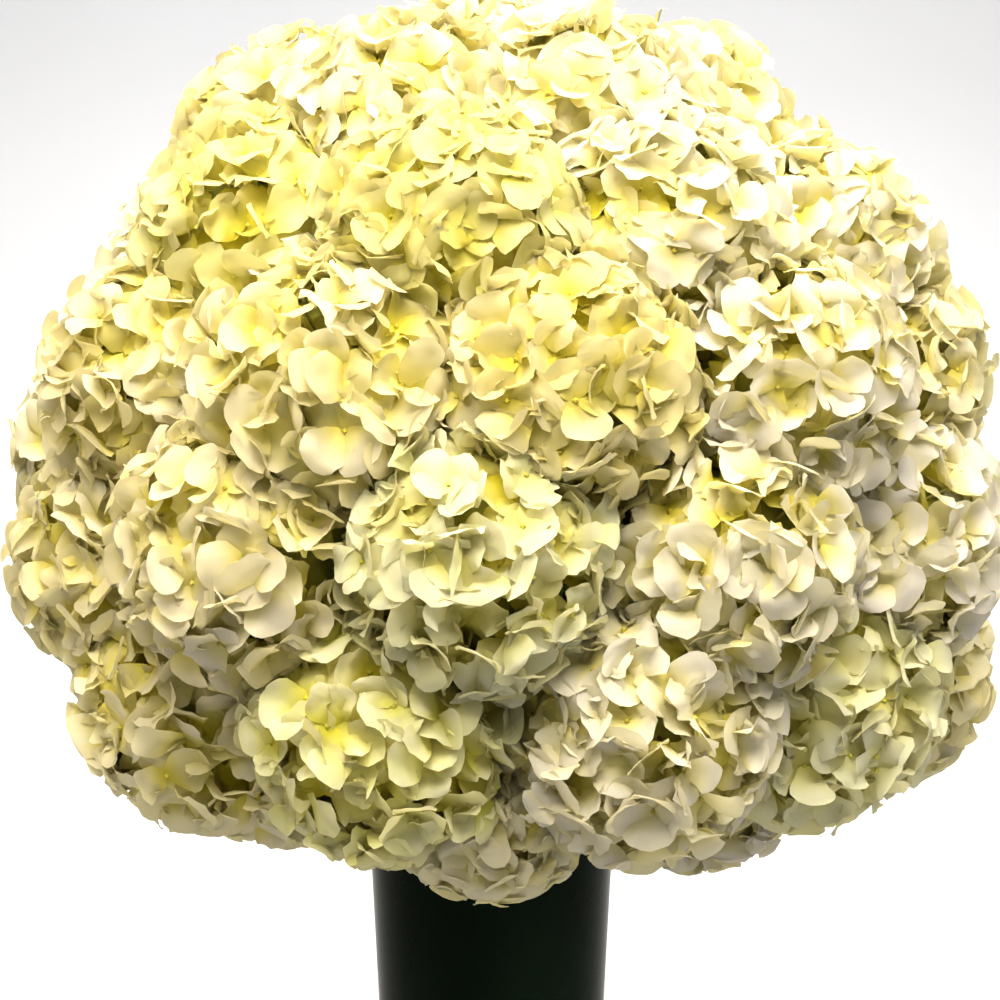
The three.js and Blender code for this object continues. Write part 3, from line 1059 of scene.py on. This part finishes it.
@dataclass
class Vase:
    """The vase, a plain slightly flared cylinder of thick glass. Lengths are in metres."""

    height: float = 300 * MM
    foot_radius: float = 57 * MM
    mouth_radius: float = 72 * MM
    wall: float = 4 * MM
    floor: float = 9 * MM
    foot_round: float = 3 * MM
    hollow: float = 1.2 * MM
    axis_gap: float = 0.4 * MM
    sides: int = 128

    def radius(self, z: float) -> float:
        """The outer radius at a height."""
        return self.foot_radius + (self.mouth_radius - self.foot_radius) * z / self.height

    def profile(self) -> Array:
        """The outline from the middle of the foot, up the outside, over the lip and down inside."""
        lip = self.wall / 2
        points = [(self.axis_gap, self.hollow), (self.foot_radius - 12 * MM, self.hollow)]
        points += [(self.foot_radius - 9 * MM, 0.0), (self.foot_radius - self.foot_round - 1 * MM, 0.0)]
        for turn in np.linspace(-90, 0, 7)[1:]:
            z = self.foot_round * (1 + math.sin(math.radians(turn)))
            drawn_in = self.foot_round * (1 - math.cos(math.radians(turn)))
            points.append((self.radius(z) - drawn_in, z))
        points += [(self.radius(z), z) for z in np.linspace(6 * MM, self.height - lip, 24)]
        for turn in np.linspace(15, 165, 7):
            z = self.height - lip + lip * math.sin(math.radians(turn))
            points.append((self.mouth_radius - lip + lip * math.cos(math.radians(turn)), z))
        heights = np.linspace(self.height - lip, self.floor + 4 * MM, 10)
        inner = [(self.radius(z) - self.wall, z) for z in heights]
        points += inner + [(inner[-1][0] - 4 * MM, self.floor), (self.axis_gap, self.floor)]
        return np.array(points)

    def build(self, material: bpy.types.Material) -> bpy.types.Object:
        """Makes the vase."""
        profile = self.profile()
        turns = np.linspace(0, 2 * math.pi, self.sides + 1)
        points = np.stack(
            [
                profile[:, :1] * np.cos(turns)[None],
                profile[:, :1] * np.sin(turns)[None],
                np.broadcast_to(profile[:, 1:], (len(profile), len(turns))),
            ],
            axis=-1,
        )
        mesh = SheetMesh()
        mesh.add(points[None])
        return mesh.build("glass_vase", material)


@dataclass
class Tie:
    """Twine wound round the bundle of stems, ending in a small knot."""

    inner_radius: float = 34.9 * MM
    low: float = 266 * MM
    high: float = 280 * MM
    thickness: float = 2.6 * MM
    turns: int = 5
    turn_steps: int = 48
    knot_size: float = 3.4 * MM
    twist_step: float = 0.8 * MM

    def build(self, material: bpy.types.Material) -> bpy.types.Object:
        """Makes the twine as one object."""
        mesh = SheetMesh("along", "side")
        radius = self.inner_radius + self.thickness / 2
        steps = np.linspace(0, self.turns, self.turns * self.turn_steps + 1)
        climb = (self.high - self.low - self.thickness) * steps / self.turns
        heights = self.low + self.thickness / 2 + climb
        spin = 2 * math.pi * steps - math.pi / 2
        path = np.stack([radius * np.cos(spin), radius * np.sin(spin), heights], axis=-1)
        self._strand(mesh, path)
        middle = np.array([0.0, -radius - 1.0 * MM, (self.low + self.high) / 2])
        self._strand(mesh, middle + self._knot())
        return mesh.build("twine_tie", material)

    def _knot(self) -> Array:
        """The looped line of the knot, about its middle."""
        turn, size = np.linspace(0, 2 * math.pi, 25), self.knot_size
        across = size * (np.sin(turn) + 0.9 * np.sin(2 * turn)) * 0.8
        deep = 0.5 * size * np.sin(3 * turn) * 0.6
        up = size * (np.cos(turn) - 0.9 * np.cos(2 * turn)) * 0.8
        return np.stack([across, deep, up], axis=-1)

    def _strand(self, mesh: SheetMesh, path: Array) -> None:
        """Adds one length of twine.

        Args:
            mesh: The mesh that it goes into.
            path: The line that it follows.
        """
        sides = 8
        steps = np.linalg.norm(np.diff(path, axis=0), axis=1)
        along = np.concatenate([[0], np.cumsum(steps)]) / self.twist_step
        mesh.add(
            tube(path, self.thickness / 2, sides),
            along=along[None, :, None],
            side=np.linspace(0, 1, sides + 1)[None, None],
        )


@dataclass(frozen=True)
class Lamp:
    """One square soft light: its place, aim and size in metres, power in watts and spread in degrees."""

    name: str
    place: Point
    aim: Point
    size: float
    power: float
    colour: Colour
    spread: float

    def build(self) -> None:
        """Adds the light to the scene."""
        light = bpy.data.lights.new(self.name, "AREA")
        light.size = self.size
        light.energy = self.power
        light.color = self.colour
        light.spread = math.radians(self.spread)
        lamp = bpy.data.objects.new(self.name, light)
        lamp.location = self.place
        aim = Vector(self.aim) - Vector(self.place)
        lamp.rotation_euler = aim.to_track_quat("-Z", "Y").to_euler()
        bpy.context.scene.collection.objects.link(lamp)


@dataclass
class Studio:
    """The floor, the lights and the camera."""

    view_elevation: float = 6.0
    view_distance: float = 1.7
    view_width: float = 0.576
    view_target: Point = (5 * MM, 0.0, 470 * MM)
    fill_above: float = 0.90
    fill_colour: Colour = (1.0, 0.96, 0.84)
    room_strength: float = 0.75
    light_bounces: int = 2
    lamps: tuple[Lamp, ...] = (
        Lamp("overhead", (0.0, -0.85, 2.1), (0.0, 0.12, 0.80), 1.7, 31, (1.0, 0.92, 0.75), 80),
        Lamp("front_left", (-2.1, -1.0, 1.8), (0.0, 0.0, 0.65), 1.0, 3.4, (1.0, 0.78, 0.45), 100),
        Lamp("right_side", (2.0, -0.8, 1.9), (0.0, 0.0, 0.65), 1.0, 1.6, (1.0, 0.97, 0.92), 100),
        Lamp("back_wash", (0.0, 1.6, 3.2), (0.0, 2.9, 0.5), 2.6, 145, (1.0, 1.0, 1.0), 120),
    )

    def floor(self) -> None:
        """Makes the pale floor, which curves up into a backdrop behind the object."""
        front, back, bend, top = -4.0, 3.0, 1.0, 4.0
        turns = np.radians(np.linspace(0, 90, 13))
        line = [(front, 0.0)] + [(y, 0.0) for y in np.linspace(-2, back, 6)]
        line += [(back + bend * math.sin(t), bend * (1 - math.cos(t))) for t in turns[1:]]
        line += [(back + bend, top)]
        profile = np.array(line)
        across = np.linspace(-5, 5, 3)
        shape = (len(profile), len(across))
        points = np.stack(
            [
                np.broadcast_to(across[None], shape),
                np.broadcast_to(profile[:, :1], shape),
                np.broadcast_to(profile[:, 1:], shape),
            ],
            axis=-1,
        )
        mesh = SheetMesh()
        mesh.add(points[None])
        mesh.build("studio_floor", StudioFinish().material())

    def lights(self) -> None:
        """Sets the soft room and the lamps: warm from above and the left, whiter from the right."""
        world = bpy.data.worlds.new("white_room")
        world.use_nodes = True
        sky = NodeTree(world.node_tree)
        way = sky.node("ShaderNodeTexCoord", {}, {}).outputs["Generated"]
        up = Signal(sky, sky.node("ShaderNodeSeparateXYZ", {}, {"Vector": way}).outputs["Z"])
        strength = self.fill_above * up.between(0.1, 0.7)
        fill = sky.node("ShaderNodeBackground", {}, {"Color": self.fill_colour, "Strength": strength})
        room = sky.node("ShaderNodeBackground", {}, {"Strength": self.room_strength})
        seen = sky.node("ShaderNodeLightPath", {}, {}).outputs["Is Camera Ray"]
        both = sky.node("ShaderNodeMixShader", {}, {0: seen, 1: fill.outputs[0], 2: room.outputs[0]})
        sky.node("ShaderNodeOutputWorld", {}, {"Surface": both.outputs[0]})
        bpy.context.scene.world = world
        bpy.context.scene.view_settings.view_transform = "Standard"
        bpy.context.scene.cycles.max_bounces = self.light_bounces
        bpy.context.scene.cycles.use_light_tree = False
        for lamp in self.lamps:
            lamp.build()

    def camera(self) -> None:
        """Sets the camera at the photograph's angle, framed as the photograph is."""
        camera = bpy.data.cameras.new("camera")
        camera.lens_unit = "FOV"
        camera.angle = 2 * math.atan(self.view_width / 2 / self.view_distance)
        tilt = math.radians(self.view_elevation)
        forward = Vector((0, math.cos(tilt), -math.sin(tilt)))
        eye = bpy.data.objects.new("camera", camera)
        eye.location = Vector(self.view_target) - forward * self.view_distance
        eye.rotation_euler = forward.to_track_quat("-Z", "Y").to_euler()
        bpy.context.scene.collection.objects.link(eye)
        bpy.context.scene.camera = eye

    def build(self) -> None:
        """Makes the whole studio."""
        self.floor()
        self.lights()
        self.camera()


def place_piece(piece: bpy.types.Object, slot: str, *nodes: str) -> None:
    """Lets a piece ride on the one body and stand for its nodes.

    Args:
        piece: The piece.
        slot: Its material slot; not used.
        nodes: The nodes of the solid model that it replaces.
    """
    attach(piece, BODY)
    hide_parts(*nodes)
    log.info("%s: %d faces", piece.name, len(piece.data.polygons))


def main() -> None:
    """Builds every piece in order."""
    logging.basicConfig(level=logging.INFO, format="%(message)s")
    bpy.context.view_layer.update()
    studio, dome, maker = Studio(), Dome(), HeadMaker()
    studio.build()
    heads = dome.places()
    kinds = (PetalKind.CREAM, PetalKind.IVORY, PetalKind.CREAM, PetalKind.GREEN)
    materials = {kind: kind.value.material() for kind in PetalKind}
    for index, head in enumerate(heads):
        kind = kinds[index % 4]
        piece = maker.build(head, index + 1, materials[kind])
        place_piece(piece, kind.value.slot, head.node)
    place_piece(Stems().build(heads, dome, StemFinish().material()), "stem", "stems")
    place_piece(Vase().build(GlassFinish().material()), "vase_glass", "vase")
    place_piece(Tie().build(TwineFinish().material()), "twine", "tie")
    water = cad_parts["water"]
    water.data.materials.clear()
    water.data.materials.append(WaterFinish().material())


if __name__ == "__main__":
    main()
